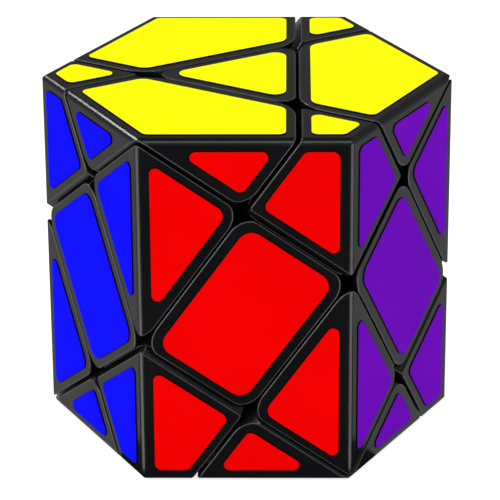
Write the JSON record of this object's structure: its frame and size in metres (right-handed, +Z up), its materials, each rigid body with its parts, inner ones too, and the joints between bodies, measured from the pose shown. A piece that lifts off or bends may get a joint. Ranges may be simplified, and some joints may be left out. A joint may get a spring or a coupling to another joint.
{
  "type": "hexagonal prism twisty puzzle",
  "caption": "Three-layer twisty puzzle shaped as a hexagonal prism, its slanted layers turning about axes that lean round the upright axis; coloured stickers on black shells.",
  "frame": {"origin": "middle of the core, where all turning axes meet; it is also the middle of the prism", "axes": "+Z up along the prism's axis, from the white end to the yellow end; -Y out of the middle of the red side; +X towards the upright corner on the right"},
  "size_m": [0.064, 0.0558, 0.0568],
  "materials": {
    "body_plastic": "moulded black ABS, satin to glossy",
    "core_plastic": "moulded dark plastic",
    "screw_steel": "zinc-plated steel",
    "spring_steel": "drawn spring wire",
    "washer_steel": "stamped steel",
    "sticker_yellow": "vinyl film",
    "sticker_white": "vinyl film",
    "sticker_red": "vinyl film",
    "sticker_purple": "vinyl film",
    "sticker_blue": "vinyl film",
    "sticker_green": "vinyl film",
    "sticker_orange": "vinyl film",
    "sticker_pink": "vinyl film"
  },
  "bodies": {
    "core": {"core_spider": "core_plastic", "axle_screws": "screw_steel", "tension_springs": "spring_steel", "screw_washers": "washer_steel"},
    "centre_top_back_right": {"centre_top_back_right": "body_plastic", "centre_top_back_right_stickers": "sticker_green"},
    "centre_top_left": {"centre_top_left": "body_plastic", "centre_top_left_stickers": "sticker_yellow"},
    "centre_top_front_right": {"centre_top_front_right": "body_plastic", "centre_top_front_right_stickers": "sticker_purple"},
    "centre_bottom_front_left": {"centre_bottom_front_left": "body_plastic", "centre_bottom_front_left_stickers": "sticker_blue"},
    "centre_bottom_right": {"centre_bottom_right": "body_plastic", "centre_bottom_right_stickers": "sticker_white"},
    "centre_bottom_back_left": {"centre_bottom_back_left": "body_plastic", "centre_bottom_back_left_stickers": "sticker_orange"},
    "edge_top_front_left": {"edge_top_front_left": "body_plastic", "edge_top_front_left_stickers": "sticker_yellow"},
    "edge_top_right": {"edge_top_right": "body_plastic", "edge_top_right_stickers": "sticker_yellow"},
    "edge_top_back_left": {"edge_top_back_left": "body_plastic", "edge_top_back_left_stickers": "sticker_yellow"},
    "edge_bottom_back_right": {"edge_bottom_back_right": "body_plastic", "edge_bottom_back_right_stickers": "sticker_white"},
    "edge_bottom_left": {"edge_bottom_left": "body_plastic", "edge_bottom_left_stickers": "sticker_white"},
    "edge_bottom_front_right": {"edge_bottom_front_right": "body_plastic", "edge_bottom_front_right_stickers": "sticker_white"},
    "edge_side_front": {"edge_side_front": "body_plastic", "edge_side_front_stickers": "sticker_red"},
    "edge_side_front_right": {"edge_side_front_right": "body_plastic", "edge_side_front_right_stickers": "sticker_purple"},
    "edge_side_back_right": {"edge_side_back_right": "body_plastic", "edge_side_back_right_stickers": "sticker_green"},
    "edge_side_back": {"edge_side_back": "body_plastic", "edge_side_back_stickers": "sticker_orange"},
    "edge_side_back_left": {"edge_side_back_left": "body_plastic", "edge_side_back_left_stickers": "sticker_pink"},
    "edge_side_front_left": {"edge_side_front_left": "body_plastic", "edge_side_front_left_stickers": "sticker_blue"},
    "corner_top": {"corner_top": "body_plastic", "corner_top_stickers": "sticker_yellow"},
    "corner_bottom": {"corner_bottom": "body_plastic", "corner_bottom_stickers": "sticker_white"},
    "corner_upper_front_left": {"corner_upper_front_left": "body_plastic", "corner_upper_front_left_stickers": "sticker_red"},
    "corner_upper_right": {"corner_upper_right": "body_plastic", "corner_upper_right_stickers": "sticker_purple"},
    "corner_upper_back_left": {"corner_upper_back_left": "body_plastic", "corner_upper_back_left_stickers": "sticker_orange"},
    "corner_lower_back_right": {"corner_lower_back_right": "body_plastic", "corner_lower_back_right_stickers": "sticker_green"},
    "corner_lower_left": {"corner_lower_left": "body_plastic", "corner_lower_left_stickers": "sticker_blue"},
    "corner_lower_front_right": {"corner_lower_front_right": "body_plastic", "corner_lower_front_right_stickers": "sticker_red"}
  },
  "joints": [
    {"name": "turn_top_back_right", "type": "hinge", "parent": "core", "child": "centre_top_back_right", "pos_m": [0, 0, 0], "axis": [0.4082, 0.7071, 0.5774], "continuous": true},
    {"name": "turn_bottom_front_left", "type": "hinge", "parent": "core", "child": "centre_bottom_front_left", "pos_m": [0, 0, 0], "axis": [0.4082, 0.7071, 0.5774], "continuous": true},
    {"name": "turn_top_left", "type": "hinge", "parent": "core", "child": "centre_top_left", "pos_m": [0, 0, 0], "axis": [-0.8165, 0, 0.5774], "continuous": true},
    {"name": "turn_bottom_right", "type": "hinge", "parent": "core", "child": "centre_bottom_right", "pos_m": [0, 0, 0], "axis": [-0.8165, 0, 0.5774], "continuous": true},
    {"name": "turn_top_front_right", "type": "hinge", "parent": "core", "child": "centre_top_front_right", "pos_m": [0, 0, 0], "axis": [0.4082, -0.7071, 0.5774], "continuous": true},
    {"name": "turn_bottom_back_left", "type": "hinge", "parent": "core", "child": "centre_bottom_back_left", "pos_m": [0, 0, 0], "axis": [0.4082, -0.7071, 0.5774], "continuous": true},
    {"name": "edge_top_front_left_turn", "type": "hinge", "parent": "centre_top_left", "child": "edge_top_front_left", "pos_m": [0, 0, 0], "axis": [0.4082, -0.7071, 0.5774], "continuous": true},
    {"name": "edge_top_right_turn", "type": "hinge", "parent": "centre_top_front_right", "child": "edge_top_right", "pos_m": [0, 0, 0], "axis": [0.4082, 0.7071, 0.5774], "continuous": true},
    {"name": "edge_top_back_left_turn", "type": "hinge", "parent": "centre_top_back_right", "child": "edge_top_back_left", "pos_m": [0, 0, 0], "axis": [-0.8165, 0, 0.5774], "continuous": true},
    {"name": "edge_bottom_back_right_turn", "type": "hinge", "parent": "centre_bottom_right", "child": "edge_bottom_back_right", "pos_m": [0, 0, 0], "axis": [0.4082, -0.7071, 0.5774], "continuous": true},
    {"name": "edge_bottom_left_turn", "type": "hinge", "parent": "centre_bottom_back_left", "child": "edge_bottom_left", "pos_m": [0, 0, 0], "axis": [0.4082, 0.7071, 0.5774], "continuous": true},
    {"name": "edge_bottom_front_right_turn", "type": "hinge", "parent": "centre_bottom_front_left", "child": "edge_bottom_front_right", "pos_m": [0, 0, 0], "axis": [-0.8165, 0, 0.5774], "continuous": true},
    {"name": "edge_side_front_turn", "type": "hinge", "parent": "centre_top_front_right", "child": "edge_side_front", "pos_m": [0, 0, 0], "axis": [0.4082, 0.7071, 0.5774], "continuous": true},
    {"name": "edge_side_front_right_turn", "type": "hinge", "parent": "centre_bottom_right", "child": "edge_side_front_right", "pos_m": [0, 0, 0], "axis": [0.4082, -0.7071, 0.5774], "continuous": true},
    {"name": "edge_side_back_right_turn", "type": "hinge", "parent": "centre_top_back_right", "child": "edge_side_back_right", "pos_m": [0, 0, 0], "axis": [-0.8165, 0, 0.5774], "continuous": true},
    {"name": "edge_side_back_turn", "type": "hinge", "parent": "centre_bottom_back_left", "child": "edge_side_back", "pos_m": [0, 0, 0], "axis": [0.4082, 0.7071, 0.5774], "continuous": true},
    {"name": "edge_side_back_left_turn", "type": "hinge", "parent": "centre_top_left", "child": "edge_side_back_left", "pos_m": [0, 0, 0], "axis": [0.4082, -0.7071, 0.5774], "continuous": true},
    {"name": "edge_side_front_left_turn", "type": "hinge", "parent": "centre_bottom_front_left", "child": "edge_side_front_left", "pos_m": [0, 0, 0], "axis": [-0.8165, 0, 0.5774], "continuous": true},
    {"name": "corner_top_turn", "type": "hinge", "parent": "edge_top_front_left", "child": "corner_top", "pos_m": [0, 0, 0], "axis": [0.4082, 0.7071, 0.5774], "continuous": true},
    {"name": "corner_bottom_turn", "type": "hinge", "parent": "edge_bottom_back_right", "child": "corner_bottom", "pos_m": [0, 0, 0], "axis": [0.4082, 0.7071, 0.5774], "continuous": true},
    {"name": "corner_upper_front_left_turn", "type": "hinge", "parent": "edge_top_front_left", "child": "corner_upper_front_left", "pos_m": [0, 0, 0], "axis": [0.4082, 0.7071, 0.5774], "continuous": true},
    {"name": "corner_upper_right_turn", "type": "hinge", "parent": "edge_side_front_right", "child": "corner_upper_right", "pos_m": [0, 0, 0], "axis": [0.4082, 0.7071, 0.5774], "continuous": true},
    {"name": "corner_upper_back_left_turn", "type": "hinge", "parent": "edge_side_back_left", "child": "corner_upper_back_left", "pos_m": [0, 0, 0], "axis": [0.4082, 0.7071, 0.5774], "continuous": true},
    {"name": "corner_lower_back_right_turn", "type": "hinge", "parent": "edge_bottom_back_right", "child": "corner_lower_back_right", "pos_m": [0, 0, 0], "axis": [0.4082, 0.7071, 0.5774], "continuous": true},
    {"name": "corner_lower_left_turn", "type": "hinge", "parent": "edge_side_back_left", "child": "corner_lower_left", "pos_m": [0, 0, 0], "axis": [0.4082, 0.7071, 0.5774], "continuous": true},
    {"name": "corner_lower_front_right_turn", "type": "hinge", "parent": "edge_side_front_right", "child": "corner_lower_front_right", "pos_m": [0, 0, 0], "axis": [0.4082, 0.7071, 0.5774], "continuous": true}
  ],
  "couplings": [
    {"joint": "edge_top_front_left_turn", "follows": "turn_top_front_right", "ratio": 1},
    {"joint": "edge_top_right_turn", "follows": "turn_top_back_right", "ratio": 1},
    {"joint": "edge_top_back_left_turn", "follows": "turn_top_left", "ratio": 1},
    {"joint": "edge_bottom_back_right_turn", "follows": "turn_bottom_back_left", "ratio": 1},
    {"joint": "edge_bottom_left_turn", "follows": "turn_bottom_front_left", "ratio": 1},
    {"joint": "edge_bottom_front_right_turn", "follows": "turn_bottom_right", "ratio": 1},
    {"joint": "edge_side_front_turn", "follows": "turn_bottom_front_left", "ratio": 1},
    {"joint": "edge_side_front_right_turn", "follows": "turn_top_front_right", "ratio": 1},
    {"joint": "edge_side_back_right_turn", "follows": "turn_bottom_right", "ratio": 1},
    {"joint": "edge_side_back_turn", "follows": "turn_top_back_right", "ratio": 1},
    {"joint": "edge_side_back_left_turn", "follows": "turn_bottom_back_left", "ratio": 1},
    {"joint": "edge_side_front_left_turn", "follows": "turn_top_left", "ratio": 1},
    {"joint": "corner_top_turn", "follows": "turn_top_back_right", "ratio": 1},
    {"joint": "corner_bottom_turn", "follows": "turn_bottom_front_left", "ratio": 1},
    {"joint": "corner_upper_front_left_turn", "follows": "turn_bottom_front_left", "ratio": 1},
    {"joint": "corner_upper_right_turn", "follows": "turn_top_back_right", "ratio": 1},
    {"joint": "corner_upper_back_left_turn", "follows": "turn_top_back_right", "ratio": 1},
    {"joint": "corner_lower_back_right_turn", "follows": "turn_top_back_right", "ratio": 1},
    {"joint": "corner_lower_left_turn", "follows": "turn_bottom_front_left", "ratio": 1},
    {"joint": "corner_lower_front_right_turn", "follows": "turn_bottom_front_left", "ratio": 1}
  ]
}
